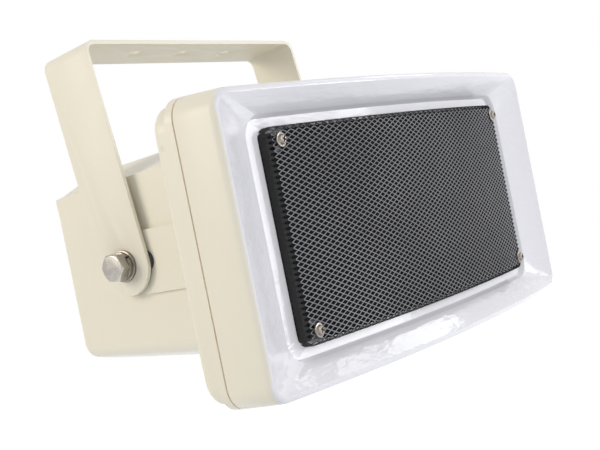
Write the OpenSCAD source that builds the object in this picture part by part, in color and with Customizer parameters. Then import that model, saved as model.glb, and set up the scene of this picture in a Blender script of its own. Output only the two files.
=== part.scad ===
// Rectangular music horn speaker on a folded steel bracket.
// Z is up, the face looks along -Y, and the origin is the middle of the bracket's mounting face.

/* [Front] */
// Width of the moulded front
face_w = 290; // [250:1:330]
// Height of the moulded front
face_h = 130; // [120:1:150]
// Corner radius of the front's outline
face_r = 10; // [7:0.5:14]
// How far the middle of the front stands ahead of its ends
face_bow = 13; // [6:0.5:16]
// Depth of the front's side, from the rim's end to the parting line
skirt_d = 21; // [18:0.5:26]
// Draft of the front's side, added by the parting line
skirt_draft = 0.7; // [0.3:0.1:1.2]
// Rounding of the rim
rim_r = 2.8; // [1.8:0.1:3.2]
// Wall of the front moulding
front_t = 2.5; // [2:0.1:3]
// Width of the recess floor at each side of the grille
side_gap = 10; // [8:0.5:12]
// Height of the recess floor above and below the grille
top_gap = 5.5; // [4:0.5:6]
// Depth of the flare below the rim
flare_d = 10; // [9:0.2:12]
// Step from the flare's foot down to the floor under the grille
step_d = 3.2; // [2:0.1:4]

/* [Grille] */
// Width of the grille pan
grille_w = 220; // [214:1:226]
// Height of the grille pan
grille_h = 95; // [92:1:98]
// Depth of the grille pan, from its face to its edge
grille_d = 5.8; // [5:0.1:6.4]
// Thickness of the grille sheet
grille_t = 1.2; // [1:0.1:1.5]
// Corner radius of the grille pan
grille_r = 5; // [4:0.5:6]
// Distance from the grille's edge to a screw
screw_inset = 6.3; // [6:0.1:8]
// Columns of gaps in the grille's main rows
gap_cols = 9; // [6:1:9]
// Main rows of gaps in the grille
gap_rows = 7; // [5:1:7]
// Width of a strand between two gaps
strand_w = 2; // [1.6:0.1:2.6]

/* [Cabinet] */
// Gap at the parting line, filled by the seal
seal_t = 0.8; // [0.6:0.1:1.2]
// Depth of the cabinet's lip behind the parting line
lip_d = 4; // [3:0.5:5]
// Step at the top and bottom, behind the lip
lip_step = 2; // [1:0.1:3]
// Depth of the cabinet's front pan
pan_d = 12.2; // [11:0.2:15]
// Half width of the rear housing
house_a = 84.4; // [80:0.1:86]
// Half height of the rear housing's side where it leaves the pan
house_b = 49; // [46:0.5:50]
// Half height of the rear housing's side at its back
house_b2 = 43; // [38:0.5:46]
// How far the top and the bottom swell above the sides
house_crown = 14; // [8:0.5:15]
// Depth of the whole speaker behind the rim's end
house_d = 165; // [160:1:180]
// Rounding of the housing's back edge
house_r = 2.5; // [1:0.5:5]
// Wall of the cabinet
cab_t = 2.8; // [2.4:0.1:3.2]
// Height of the side boss, which carries the pivot
boss_h = 31.5; // [30:0.5:34]
// How far the side boss stands off the housing
boss_t = 1.3; // [1:0.1:2]

/* [Bracket] */
// Width of the bracket's strap
strap_w = 31; // [28:0.5:34]
// Thickness of the bracket's strap
strap_t = 2.2; // [2:0.1:3]
// Outer radius of the strap's bends
bend_r = 7; // [5:0.5:9]
// Height from the pivot to the mounting face
pivot_drop = 112; // [112:0.5:130]
// Distance from the rim's end to the pivot
pivot_back = 118.7; // [116:0.1:122]
// Downward aim of the speaker
aim = 6.6; // [0:0.1:20]
// Diameter of the bracket's holes
hole_d = 8.5; // [8.4:0.1:9]
// Distance between the two outer mounting holes
hole_span = 78; // [60:1:120]

/* [Pivot] */
// Shank diameter of the pivot bolt
bolt_d = 8; // [7.8:0.1:8]
// Width across the flats of the bolt's head
bolt_af = 13; // [12.5:0.1:14]
// Height of the bolt's head
bolt_k = 5.3; // [5:0.1:6]
// Length of the bolt's shank
bolt_l = 20; // [18:1:22]
// Thickness of the black lock disc
disc_t = 1.2; // [1:0.1:1.6]
// Diameter of the black lock disc
disc_d = 32; // [30:0.5:33]
// Outer diameter of the flat washer
washer_d = 16; // [15.5:0.1:17]
// Thickness of the flat washer
washer_t = 1.6; // [1.2:0.1:1.8]
// Outer diameter of the spring washer
spring_d = 14.4; // [13.8:0.1:14.8]
// Thickness of the spring washer
spring_t = 2; // [1.6:0.1:2.4]
// Outer diameter of the brass insert
insert_d = 11; // [10.5:0.1:12]
// Length of the brass insert
insert_l = 15; // [13:0.5:16]

/* [Horn and driver] */
// Distance from the grille's side to the horn's mouth
mouth_side = 12; // [11:0.5:15]
// Distance from the grille's top or bottom to the horn's mouth
mouth_top = 7.5; // [7:0.5:9]
// Length of the horn, from the floor under the grille to the driver
horn_l = 54; // [50:1:60]
// Wall of the horn
horn_t = 2; // [1.8:0.1:2.4]
// Radius of the horn's throat
throat_r = 37; // [35:0.5:38]
// Width of the driver frame's rim, outside the throat
frame_lip = 12; // [11:0.5:13]
// Depth of the driver's basket
basket_d = 27; // [25:0.5:30]
// Diameter of the driver's magnet
magnet_d = 70; // [60:1:72]
// Thickness of the driver's magnet
magnet_t = 13; // [10:0.5:15]
// Diameter of the voice coil's former
coil_d = 25; // [24:0.5:26]
// Travel of the cone to each side
cone_travel = 2; // [1:0.5:2.5]

/* [Transformer and gland] */
// Width of the line transformer's core
core_w = 48; // [44:1:52]
// Height of the line transformer's core
core_h = 40; // [36:1:44]
// Stack of the line transformer's core
core_t = 18; // [16:1:20]
// Outer diameter of the cable gland's thread
gland_d = 16; // [14:0.5:18]
// Largest cable that the gland takes
cable_d = 8; // [6:0.5:9]

/* [Hidden] */

// Clearance between a fixed piece and its seat, and between pieces that slide or turn
fit = 0.1;
slide = 0.3;

// Segments of a corner, pieces of a long bowed edge, and facets of round work
corner_n = 6;
edge_n = 12;
fine = 96;
arc_fn = 720;

// The bow is one arc in plan, and every front surface follows it
bow_r = (pow(face_w / 2, 2) + pow(face_bow, 2)) / (2 * face_bow);
rim_y = -pivot_back - face_bow;
function bow(x) = bow_r - sqrt(bow_r * bow_r - x * x);

// Openings that follow the grille: the foot of the flare, and the horn's mouth
flare_w = grille_w + 2 * side_gap;
flare_h = grille_h + 2 * top_gap;
mouth_w = grille_w - 2 * mouth_side;
mouth_h = grille_h - 2 * mouth_top;

// Depths below the rim, at the middle of the front
floor_d = flare_d + step_d;
grille_y = floor_d - fit - grille_d;
part_y = skirt_d - pivot_back;
cab_y = part_y + seal_t;
pan_y = cab_y + pan_d;
back_y = house_d - pivot_back;

// Places of the screws
grille_sx = grille_w / 2 - screw_inset;
grille_sz = grille_h / 2 - screw_inset;
cab_inset = 12;
cab_sx = face_w / 2 - cab_inset;
cab_sz = face_h / 2 - cab_inset - 1;
cab_screw_at = [for (x = [-1, 1], z = [-1, 0, 1]) [x * cab_sx, z * cab_sz]];
grille_screw_at = [for (x = [-1, 1], z = [-1, 1]) [x * grille_sx, z * grille_sz]];

// Screws: shank, pilot bore, head and its flange, the post that each one holds in, and the shank lengths
screw_d = 3.5;
pilot_d = screw_d + fit;
head_d = 6.4;
head_t = 2.2;
flange_t = 0.7;
post_d = 7.4;
grille_screw_l = 26;
cab_screw_l = 16;
frame_screw_l = 8;
core_screw_l = 6.5;

// Stack at the pivot, outward from the side boss
boss_x = house_a + boss_t;
arm_in = boss_x + disc_t;
arm_out = arm_in + strap_t;
washer_x = arm_out;
spring_x = washer_x + washer_t;
head_x = spring_x + spring_t;
hex_turn = -5.3;

// Driver stations behind the horn
horn_y = rim_y + floor_d + horn_l;
gasket_t = 1.5;
frame_y = horn_y + gasket_t;
frame_t = 1.2;
frame_d = 2 * (throat_r + frame_lip);
frame_screw_r = throat_r + frame_lip - 3.9;
plate_y = frame_y + basket_d;
plate_t = 5;
magnet_y = plate_y + plate_t;
yoke_y = magnet_y + magnet_t;
yoke_t = 5;
gap_w = 1.1;
cone_r = throat_r - 2.6;

// One closed outline: a rounded rectangle whose top and bottom may swell by crown
function corner(a, b, r, sx, sz, t0) = [for (i = [0:corner_n]) let (t = t0 + 90 * i / corner_n)
    [sx * (a - r) + r * cos(t), sz * (b - r) + r * sin(t)]];
function span(x0, x1, z) = [for (i = [1:edge_n - 1]) [x0 + (x1 - x0) * i / edge_n, z]];
function flat_outline(a, b, r) = concat(
    corner(a, b, r, 1, 1, 0), span(a - r, r - a, b),
    corner(a, b, r, -1, 1, 90),
    corner(a, b, r, -1, -1, 180), span(r - a, a - r, -b),
    corner(a, b, r, 1, -1, 270));
function outline(a, b, r, crown) =
    [for (p = flat_outline(a, b, r)) [p[0], p[1] + sign(p[1]) * crown * (1 - pow(p[0] / a, 2))]];

// One row of a loft: half width, half height, corner radius, depth, share of the bow, crown
function row(a, b, r, y, bowed = 0, crown = 0) =
    [for (p = outline(a, b, r, crown)) [p[0], y + bowed * bow(p[0]), p[1]]];

// One row that runs from a circle (n = 2) to a rounded rectangle
oval_n = 48;
function power(v, n) = sign(v) * pow(abs(v), 2 / n);
function oval(a, b, n, y, bowed = 0) = [for (i = [0:oval_n - 1])
    let (t = 360 * (i + 0.5) / oval_n, x = a * power(cos(t), n))
    [x, y + bowed * bow(x), b * power(sin(t), n)]];

// Rows joined into a skin, closed by caps or by joining the last row to the first
module loft(rows, ring = false) {
    n = len(rows[0]);
    m = len(rows);
    last = ring ? m - 1 : m - 2;
    sides = [for (i = [0:last], j = [0:n - 1]) let (
        a = i * n + j, b = i * n + (j + 1) % n,
        c = ((i + 1) % m) * n + j, d = ((i + 1) % m) * n + (j + 1) % n) each [[a, c, b], [b, c, d]]];
    caps = ring ? [] : [[for (j = [0:n - 1]) j], [for (j = [n - 1:-1:0]) (m - 1) * n + j]];
    polyhedron(points = [for (r = rows) each r], faces = concat(sides, caps), convexity = 10);
}

// A rounded rectangle in the XZ plane, made solid from depth y0 to depth y1
module slab(w, h, r, y0, y1) {
    translate([0, y1, 0]) rotate([90, 0, 0]) linear_extrude(y1 - y0) {
        square([w - 2 * r, h], center = true);
        square([w, h - 2 * r], center = true);
        for (x = [-1, 1], z = [-1, 1]) translate([x * (w / 2 - r), z * (h / 2 - r)]) circle(r, $fn = fine);
    }
}

// A round bar along Y, and one along X
module bar_y(d, y0, y1, x = 0, z = 0) {
    translate([x, y0, z]) rotate([-90, 0, 0]) cylinder(d = d, h = y1 - y0, $fn = fine);
}
module bar_x(d, x0, x1, y = 0, z = 0) {
    translate([x0, y, z]) rotate([0, 90, 0]) cylinder(d = d, h = x1 - x0, $fn = fine);
}

// A ring turned about Y from a profile of [radius, depth] points
module turned(profile) {
    rotate([-90, 0, 0]) rotate_extrude($fn = fine) polygon(profile);
}

// The speaker's own pieces are drawn about the pivot, then aimed and hung below the mounting face
module hung() {
    translate([0, 0, -pivot_drop]) rotate([aim, 0, 0]) children();
}

// Both sides at once
module both() {
    children();
    mirror([1, 0, 0]) children();
}

// Bracket: one folded strap with rounded arm ends
module bracket() {
    reach = pivot_drop + strap_w / 2;
    color("#e9e2cf") difference() {
        intersection() {
            translate([0, strap_w / 2, 0]) rotate([90, 0, 0]) linear_extrude(strap_w) strap_fold(reach);
            translate([-arm_out, 0, 0]) rotate([90, 0, 90]) linear_extrude(2 * arm_out) arm_side();
        }
        for (x = [-hole_span / 2, 0, hole_span / 2])
            translate([x, 0, -strap_t - 1]) cylinder(d = hole_d, h = strap_t + 2, $fn = fine);
        bar_x(hole_d, -arm_out - 1, arm_out + 1, z = -pivot_drop);
    }
}
module strap_fold(reach) {
    difference() {
        strap_bend(arm_out, bend_r, 0, reach);
        strap_bend(arm_in, bend_r - strap_t, -strap_t, reach + 1);
    }
}
module strap_bend(a, r, top, reach) {
    translate([-a, -reach]) square([2 * a, reach + top - r]);
    translate([-a + r, top - r - 1]) square([2 * a - 2 * r, r + 1]);
    for (x = [-1, 1]) translate([x * (a - r), top - r]) circle(r, $fn = fine);
}
module arm_side() {
    translate([-strap_w / 2, -pivot_drop]) square([strap_w, pivot_drop]);
    translate([0, -pivot_drop]) circle(d = strap_w, $fn = fine);
}

// Front: rim, flare, step and floor in one moulding, with posts and bosses behind
rim_steps = 5;
crest_w = 0.3;
corner_t = 0.6;
flare_a = face_w / 2 - rim_r - crest_w;
function rim_arc(n) = [for (i = [0:n]) let (t = 90 * i / n) [rim_r * (1 - cos(t)), rim_r * (1 - sin(t))]];
function flare_at(x) = flare_d * (flare_a - x) / (flare_a - flare_w / 2);
function face_row(w, h, r, depth) = row(w / 2, h / 2, r, rim_y + depth, 1);
module front_bezel() {
    a = face_w / 2;
    b = face_h / 2;
    back = floor_d + front_t;
    crest = 2 * (rim_r + crest_w);
    foot_r = grille_r + top_gap;
    mouth_r = 8;
    hide = front_t + rim_r + crest_w;
    rim = [for (p = rim_arc(rim_steps)) row(a - p[0], b - p[0], face_r - p[0], rim_y + p[1], 1)];
    flare = [
        face_row(face_w - crest, face_h - crest, face_r - rim_r - crest_w, crest_w),
        face_row(flare_w + 2 * corner_t, flare_h + 2 * corner_t, foot_r + corner_t, flare_d - corner_t / 2),
        face_row(flare_w, flare_h, foot_r, flare_d + corner_t),
        face_row(flare_w - 2 * corner_t, flare_h - 2 * corner_t, foot_r - corner_t, floor_d - corner_t),
        face_row(flare_w - 4 * corner_t, flare_h - 4 * corner_t, foot_r - 2 * corner_t, floor_d),
        face_row(mouth_w, mouth_h, mouth_r, floor_d)];
    behind = [
        face_row(mouth_w, mouth_h, mouth_r, back),
        face_row(flare_w + 2 * front_t, flare_h + 2 * front_t, foot_r + front_t, back),
        face_row(face_w - 2 * (front_t + rim_r), face_h - 2 * (front_t + rim_r),
            face_r - rim_r, hide - rim_r),
        face_row(face_w - 2 * front_t, face_h - 2 * front_t, face_r - front_t, hide),
        row(a + skirt_draft - front_t, b + skirt_draft - front_t, face_r - front_t, part_y)];
    side = [row(a + skirt_draft, b + skirt_draft, face_r + skirt_draft, part_y)];
    post_y = rim_y + bow(cab_sx) + flare_at(cab_sx - post_d / 2);
    color("#eeebe2") hung() difference() {
        union() {
            loft(concat(side, rim, flare, behind), ring = true);
            for (p = grille_screw_at)
                bar_y(post_d, seat_y + 2 * grille_t, rim_y + bow(grille_sx) + back, p[0], p[1]);
            for (p = cab_screw_at) bar_y(post_d, post_y, pan_y - cab_t - fit, p[0], p[1]);
        }
        for (p = grille_screw_at) bar_y(screw_d + 1, rim_y, rim_y + bow(grille_sx) + back + 1, p[0], p[1]);
        for (p = cab_screw_at) bar_y(pilot_d, pan_y - cab_t - cab_screw_l, pan_y, p[0], p[1]);
    }
}

// Grille: a bowed pan with rolled edges, whose face is a lattice of crossing strands
module bowed(h, r, t0, t1) {
    sweep = 30;
    translate([0, rim_y + grille_y + bow_r, 0])
        rotate([0, 0, -90 - sweep / 2]) rotate_extrude(angle = sweep, $fn = arc_fn) difference() {
            union() {
                translate([bow_r - t1, -h / 2]) square([t1 - t0 - r, h]);
                translate([bow_r - t1, r - h / 2]) square([t1 - t0, h - 2 * r]);
                for (z = [-1, 1]) translate([bow_r - t0 - r, z * (h / 2 - r)]) circle(r, $fn = 48);
            }
            translate([bow_r - t1 - 2 * r, -h / 2 - 1]) square([2 * r, h + 2]);
        }
}
module grille() {
    roll = 1.6;
    y0 = rim_y + grille_y - 1;
    y1 = y0 + grille_d + face_bow + 1;
    margin = 2 * screw_inset + 2;
    pitch_x = (grille_w - margin) / (gap_cols + 0.4);
    pitch_z = (grille_h - margin) / (gap_rows + 0.4);
    color("#3a3a3e") hung() difference() {
        union() {
            difference() {
                intersection() {
                    slab(grille_w, grille_h, grille_r, y0, y1);
                    bowed(grille_h, roll, 0, grille_d);
                }
                intersection() {
                    slab(grille_w - 2 * grille_t, grille_h - 2 * grille_t, grille_r - grille_t, y0, y1 + 1);
                    bowed(grille_h - 2 * grille_t, roll - grille_t, grille_t, grille_d + face_bow);
                }
                gaps(gap_cols, gap_rows, pitch_x, pitch_z, y0, y1);
                gaps(gap_cols - 1, gap_rows - 1, pitch_x, pitch_z, y0, y1);
            }
            for (p = grille_screw_at) bar_y(post_d, seat_y, seat_y + 2 * grille_t - fit, p[0], p[1]);
        }
        for (p = grille_screw_at) bar_y(screw_d + 0.5, y0, y1, p[0], p[1]);
    }
}
seat_y = rim_y + grille_y + bow(grille_sx) - 0.4;
module gaps(cols, rows, pitch_x, pitch_z, y0, y1) {
    cut = strand_w * sqrt(pitch_x * pitch_x + pitch_z * pitch_z) / (2 * pitch_x * pitch_z);
    w = pitch_x / 2 * (1 - cut);
    h = pitch_z / 2 * (1 - cut);
    for (i = [0:cols - 1], j = [0:rows - 1])
        translate([(i - (cols - 1) / 2) * pitch_x, y1, (j - (rows - 1) / 2) * pitch_z])
            rotate([90, 0, 0]) linear_extrude(y1 - y0) polygon([[w, 0], [0, h], [-w, 0], [0, -h]]);
}

// Screw: domed head with a flange, cross recess and a plain shank, along +Y from its seat
module screw(l, d = screw_d, hd = head_d) {
    recess_w = 0.9;
    difference() {
        turned([[0, -head_t], [hd * 0.2, -head_t], [hd * 0.32, -head_t + 0.4], [hd * 0.38, -flange_t],
            [hd / 2, -flange_t], [hd / 2, 0], [d / 2, 0], [d / 2, l - d / 2], [0, l]]);
        for (t = [0, 90]) rotate([0, t, 0])
            translate([-hd * 0.2, -2 * head_t, -recess_w / 2]) cube([hd * 0.4, 1.55 * head_t, recess_w]);
    }
}
module grille_screws() {
    color("#c9c6c0") hung() for (p = grille_screw_at)
        translate([p[0], seat_y, p[1]]) rotate([0, 25, 0]) screw(grille_screw_l);
}

// Cloth: a thin black sheet against the back of the grille's face
module dust_cloth() {
    cloth_t = 0.5;
    inner_w = grille_w - 2 * grille_t - 1;
    inner_h = grille_h - 2 * grille_t - 1;
    y0 = rim_y + grille_y;
    color("#161618") hung() difference() {
        intersection() {
            slab(inner_w, inner_h, grille_r - grille_t, y0 - 1, y0 + face_bow + 4);
            bowed(inner_h, 0.2, grille_t + slide, grille_t + slide + cloth_t);
        }
        for (x = [-1, 1], z = [-1, 1])
            translate([x * grille_w / 2, y0, z * grille_h / 2])
                cube([2, 2, 2] * (screw_inset + post_d / 2 + 1), center = true);
    }
}

// Seal between the front and the cabinet
module seal_ring() {
    inset = 0.7;
    w = face_w + 2 * skirt_draft - 2 * inset;
    h = face_h + 2 * skirt_draft - 2 * inset;
    color("#b9a083") hung() difference() {
        slab(w, h, face_r, part_y, cab_y);
        slab(w - 3, h - 3, face_r - 1.5, part_y - 1, cab_y + 1);
    }
}

// Cabinet: lip, pan and rear housing as one skin, from its back round the lip to its inside
function arc_in(r, n) = [for (i = [n:-1:0]) let (t = 90 * i / n) [r * (1 - cos(t)), r * (1 - sin(t))]];
function house(f, wall) = let (d = back_y - pan_y)
    [house_a - 1.6 * f - wall, house_b + (house_b2 - house_b) * f - wall, 6 - wall, house_crown - 2 * f];
function house_row(f, wall, y, inset = 0) = let (h = house(f, wall))
    row(h[0] - inset, h[1] - inset, max(h[2] - inset * 0.3, 1.5), y, 0, h[3]);
module rear_cabinet() {
    a = face_w / 2 + skirt_draft;
    b = face_h / 2 + skirt_draft;
    len_h = back_y - pan_y;
    turn = 4;
    outer = concat(
        [for (p = arc_in(house_r, 5)) let (y = back_y - p[1]) house_row((y - pan_y) / len_h, 0, y, p[0])],
        [house_row(0.5, 0, pan_y + len_h * 0.5), house_row(0, 0, pan_y)]);
    step_b = b - lip_step;
    pan = concat(
        [for (p = arc_in(turn, 4)) row(a - p[0], step_b - p[0], 12 - p[0], pan_y - p[1])],
        [row(a, step_b, 12, cab_y + lip_d + 0.4), row(a, b, face_r + skirt_draft, cab_y + lip_d),
         row(a, b, face_r + skirt_draft, cab_y)]);
    inner = [row(a - cab_t, b - cab_t - lip_step, face_r - 2, cab_y),
        row(a - cab_t, b - cab_t - lip_step, face_r - 2, pan_y - cab_t),
        house_row(0, cab_t, pan_y - cab_t), house_row(0.5, cab_t, pan_y + len_h * 0.5),
        house_row(1, cab_t, back_y - cab_t - 3), house_row(1, cab_t, back_y - cab_t, 3)];
    color("#e9e2cf") hung() difference() {
        union() {
            loft(concat(outer, pan, inner));
            both() {
                side_boss();
                bar_x(insert_d + 6, boss_x - insert_l - 3, house_a - 1);
            }
            for (x = [-1, 1]) bar_y(8, back_y - cab_t - 6, back_y - cab_t / 2, x * core_ear, core_z);
            for (p = block_at) bar_y(6, back_y - cab_t - 3, back_y - cab_t / 2, p, block_z);
        }
        both() bar_x(insert_d, boss_x - insert_l, boss_x + 1);
        for (p = cab_screw_at) {
            bar_y(screw_d + 0.5, pan_y - cab_t - 1, pan_y + 1, p[0], p[1]);
            bar_y(head_d + 0.6, pan_y - 1, pan_y + 1, p[0], p[1]);
        }
        bar_y(gland_d + 0.4, back_y - cab_t - 1, back_y + 1, 0, gland_z);
        for (x = [-1, 1]) bar_y(pilot_d, back_y - cab_t - 7, back_y - cab_t, x * core_ear, core_z);
        for (p = block_at) bar_y(pilot_d - 1, back_y - cab_t - 4, back_y - cab_t, p, block_z);
    }
}
module side_boss() {
    translate([house_a - cab_t / 2, 0, 0]) rotate([90, 0, 90]) linear_extrude(boss_t + cab_t / 2) {
        translate([pan_y - 1, -boss_h / 2]) square([1 - pan_y, boss_h]);
        circle(d = boss_h, $fn = fine);
    }
}
module cabinet_screws() {
    color("#c9c6c0") hung() for (p = cab_screw_at)
        translate([p[0], pan_y - 1, p[1]]) mirror([0, 1, 0]) screw(cab_screw_l);
}

// Pivot hardware on each side
module pivot_bolts() {
    color("#b9b6b0") hung() both() {
        bar_x(bolt_d, head_x - bolt_l, head_x + 1);
        intersection() {
            translate([head_x, 0, 0]) rotate([0, 90, 0]) rotate([0, 0, 90 - hex_turn])
                cylinder(d = bolt_af / cos(30), h = bolt_k, $fn = 6);
            translate([head_x - 1, 0, 0]) rotate([0, 90, 0])
                cylinder(r1 = bolt_af * 0.81, r2 = bolt_af * 0.475, h = bolt_k + 1.001, $fn = fine);
        }
    }
}
module spring_washers() {
    inner = bolt_d + 0.2;
    color("#a9a6a0") hung() both() difference() {
        bar_x(spring_d, spring_x, head_x);
        bar_x(inner, spring_x - 1, head_x + 1);
        translate([spring_x + spring_t / 2, 0, 0]) rotate([-35, 0, 0]) translate([0, -spring_d / 2, 0])
            rotate([0, 0, 25]) cube([spring_t * 3, spring_d * 0.8, 0.9], center = true);
    }
}
module flat_washers() {
    color("#c4c1ba") hung() both() difference() {
        bar_x(washer_d, washer_x, spring_x);
        bar_x(bolt_d + 0.4, washer_x - 1, spring_x + 1);
    }
}
module lock_discs() {
    color("#1c1c1e") hung() both() difference() {
        bar_x(disc_d, boss_x, arm_in);
        bar_x(bolt_d + 0.4, boss_x - 1, arm_in + 1);
    }
}
module threaded_inserts() {
    color("#c9a24a") hung() both() difference() {
        bar_x(insert_d, boss_x - insert_l, boss_x);
        bar_x(bolt_d, boss_x - insert_l - 1, boss_x + 1);
    }
}

// Horn: from the mouth behind the grille to the round throat at the driver
module horn_flare() {
    y0 = rim_y + floor_d + front_t + slide;
    flange = 2.5;
    a = mouth_w / 2;
    b = mouth_h / 2;
    lug_l = frame_screw_l - 0.5;
    post_l = 12;
    function f(s) = pow(1 - s, 1.6);
    function skin(s, t) = oval(throat_r + (a - throat_r) * f(s) + t, throat_r + (b - throat_r) * f(s) + t,
        2 + 5 * pow(1 - s, 2), y0 + (horn_y - y0) * s, pow(1 - s, 2));
    function rim(w, h, n, y) = oval(w / 2, h / 2, n, y, 1);
    steps = [0, 0.15, 0.3, 0.5, 0.75, 1];
    color("#2a2a2c") hung() difference() {
        union() {
            loft(concat(
                [for (s = steps) skin(s, 0)],
                [for (i = [len(steps) - 1:-1:1]) skin(steps[i], horn_t)],
                [rim(mouth_w + 2 * horn_t, mouth_h + 2 * horn_t, 7, y0 + flange),
                 rim(grille_w + 4, grille_h + 4, 14, y0 + flange),
                 rim(grille_w + 4, grille_h + 4, 14, y0)]), ring = true);
            for (p = grille_screw_at)
                bar_y(post_d + 1, y0 + bow(grille_sx) + 1, y0 + bow(grille_sx) + post_l, p[0], p[1]);
            difference() {
                bar_y(frame_d, horn_y - 3, horn_y);
                bar_y(2 * throat_r + horn_t, horn_y - 4, horn_y + 1);
            }
            for (t = [45:90:315]) rotate([0, t, 0]) bar_y(7, horn_y - lug_l, horn_y, frame_screw_r);
        }
        for (p = grille_screw_at) bar_y(pilot_d, y0, y0 + bow(grille_sx) + post_l + 1, p[0], p[1]);
        for (t = [45:90:315]) rotate([0, t, 0]) bar_y(pilot_d, horn_y - lug_l + 1, horn_y + 1, frame_screw_r);
    }
}

// Driver: frame, motor and cone, all turned about one axis
module driver_gasket() {
    color("#2e2c2a") hung() difference() {
        bar_y(frame_d, horn_y, frame_y);
        bar_y(2 * throat_r + 2, horn_y - 1, frame_y + 1);
        for (t = [45:90:315]) rotate([0, t, 0]) bar_y(screw_d + 1, horn_y - 1, frame_y + 1, frame_screw_r);
    }
}
module driver_basket() {
    r1 = frame_d / 2;
    r2 = throat_r + 3;
    r3 = magnet_d / 2 - 3;
    t = frame_t;
    color("#8d8f92") hung() difference() {
        turned([[throat_r + 1, frame_y], [r1, frame_y], [r1, frame_y + t], [r2 + t, frame_y + t],
            [r2, frame_y + 9], [r3 + t, plate_y], [coil_d / 2 + 4, plate_y],
            [coil_d / 2 + 4, plate_y - t], [r3, plate_y - t],
            [r2 - t, frame_y + 8.6], [r2 - t, frame_y + t + 0.4], [throat_r + 1, frame_y + t + 0.4]]);
        for (t = [45:90:315]) rotate([0, t, 0]) bar_y(screw_d + 0.5, frame_y - 1, frame_y + 4, frame_screw_r);
        for (t = [0:60:300]) rotate([0, t, 0]) bar_x(13, r3 - 6, r2 + 4, frame_y + basket_d * 0.62);
    }
}
module driver_screws() {
    color("#c9c6c0") hung() for (t = [45:90:315]) rotate([0, t, 0])
        translate([frame_screw_r, frame_y + frame_t, 0]) mirror([0, 1, 0]) screw(frame_screw_l);
}
module top_plate() {
    color("#777a7d") hung() difference() {
        bar_y(magnet_d - 4, plate_y, magnet_y);
        bar_y(coil_d + 2 * gap_w, plate_y - 1, magnet_y + 1);
    }
}
module magnet() {
    color("#3b3b3d") hung() difference() {
        bar_y(magnet_d, magnet_y, yoke_y);
        bar_y(coil_d + 10, magnet_y - 1, yoke_y + 1);
    }
}
module back_plate() {
    color("#777a7d") hung() difference() {
        union() {
            bar_y(magnet_d - 4, yoke_y, yoke_y + yoke_t);
            bar_y(coil_d - 1.6, plate_y, yoke_y + 1);
        }
        bar_y(8, plate_y - 1, yoke_y + yoke_t + 1);
    }
}
module voice_coil() {
    y0 = plate_y - 9;
    color("#b8763a") hung() difference() {
        union() {
            bar_y(coil_d, y0, magnet_y + cone_travel + 1);
            bar_y(coil_d + 0.9, plate_y - cone_travel, magnet_y + cone_travel);
        }
        bar_y(coil_d - 0.6, y0 - 1, magnet_y + cone_travel + 2);
    }
}
cone_y = frame_y + 3.2;
neck_y = plate_y - 9;
module cone() {
    r = coil_d / 2 + fit;
    t = 0.8;
    color("#26262a") hung() turned([[r, neck_y + 2], [r, neck_y - 1], [cone_r, cone_y], [cone_r, cone_y + t],
        [r + t, neck_y - 0.2 + t], [r + t, neck_y + 2]]);
}
module dust_cap() {
    r = coil_d / 2 - fit;
    h = 5;
    ball = (r * r + h * h) / (2 * h);
    y1 = neck_y;
    color("#1d1d20") hung() difference() {
        intersection() {
            translate([0, y1 - h + ball, 0]) sphere(ball, $fn = fine);
            bar_y(2 * r, y1 - h - 1, y1);
        }
        translate([0, y1 - h + ball + 0.7, 0]) sphere(ball, $fn = fine);
    }
}
module surround() {
    r0 = cone_r + slide;
    r1 = throat_r + 1.5;
    roll_r = (throat_r + 1 - r0) / 2;
    t = 0.6;
    color("#202022") hung() rotate([-90, 0, 0]) rotate_extrude($fn = fine) translate([0, cone_y + 0.4]) {
        difference() {
            translate([r0 + roll_r, 0]) circle(roll_r, $fn = 48);
            translate([r0 + roll_r, 0]) circle(roll_r - t, $fn = 48);
            translate([r0 - 1, 0]) square([2 * roll_r + 2, roll_r + 1]);
        }
        translate([r0 + 2 * roll_r - t, -cone_y - 0.4 + frame_y + frame_t + 0.4])
            square([r1 - r0 - 2 * roll_r + t, cone_y + 0.4 - frame_y - frame_t - 0.4]);
    }
}
module spider() {
    r0 = coil_d / 2 + 0.45 + slide;
    r1 = magnet_d / 2 - 4;
    y = plate_y - frame_t - 2.4;
    t = 0.6;
    waves = 3;
    pitch = (r1 - r0 - 3) / waves;
    top = [for (i = [0:waves * 8]) [r0 + pitch * i / 8, y + 0.9 * sin(45 * i)]];
    color("#c8a860") hung() turned(concat(top,
        [[r1 - 2.4, y], [r1 - 1.2, plate_y - frame_t], [r1, plate_y - frame_t],
        [r1, plate_y - frame_t - t], [r1 - 0.8, plate_y - frame_t - t], [r1 - 2, y - t]],
        [for (i = [waves * 8:-1:0]) top[i] - [0, t]]));
}

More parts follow.
